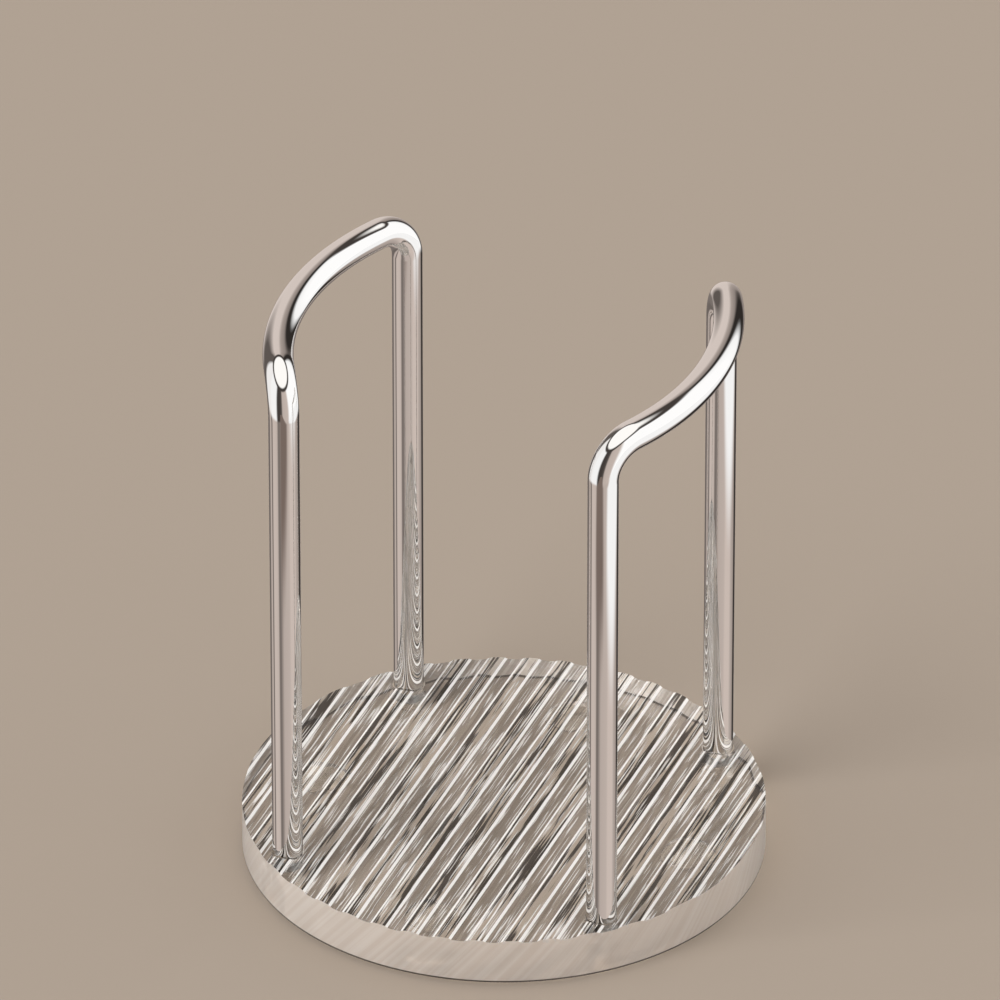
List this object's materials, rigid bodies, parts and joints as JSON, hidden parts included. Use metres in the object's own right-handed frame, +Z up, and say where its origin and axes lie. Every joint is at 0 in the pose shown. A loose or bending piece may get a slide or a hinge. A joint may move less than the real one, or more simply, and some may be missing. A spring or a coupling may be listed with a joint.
{
  "type": "paper cup rack",
  "caption": "Countertop rack that holds a stack of upturned paper cups between two bent-tube hoops on a clear, ribbed disc base with soft pads.",
  "frame": {"origin": "centre line of the rack at the underside of the pads, on the surface that it stands on", "axes": "+Z up; the two hoops stand on the +X and -X sides; the base's ribs run along Y; -Y is the front"},
  "size_m": [0.12, 0.12, 0.1397],
  "materials": {
    "clear_acrylic": "clear, polished acrylic",
    "polished_tube": "mirror-polished chrome",
    "insert_brass": "turned, satin",
    "screw_steel": "zinc-plated, satin",
    "pad_silicone": "translucent, soft, matte"
  },
  "bodies": {
    "root": {"base_disc": "clear_acrylic", "hoop_right": "polished_tube", "hoop_left": "polished_tube", "insert_right_front": "insert_brass", "insert_right_back": "insert_brass", "insert_left_front": "insert_brass", "insert_left_back": "insert_brass", "washer_right_front": "screw_steel", "washer_right_back": "screw_steel", "washer_left_front": "screw_steel", "washer_left_back": "screw_steel", "screw_right_front": "screw_steel", "screw_right_back": "screw_steel", "screw_left_front": "screw_steel", "screw_left_back": "screw_steel", "pad_right": "pad_silicone", "pad_left": "pad_silicone", "pad_front": "pad_silicone", "pad_back": "pad_silicone"}
  },
  "joints": []
}
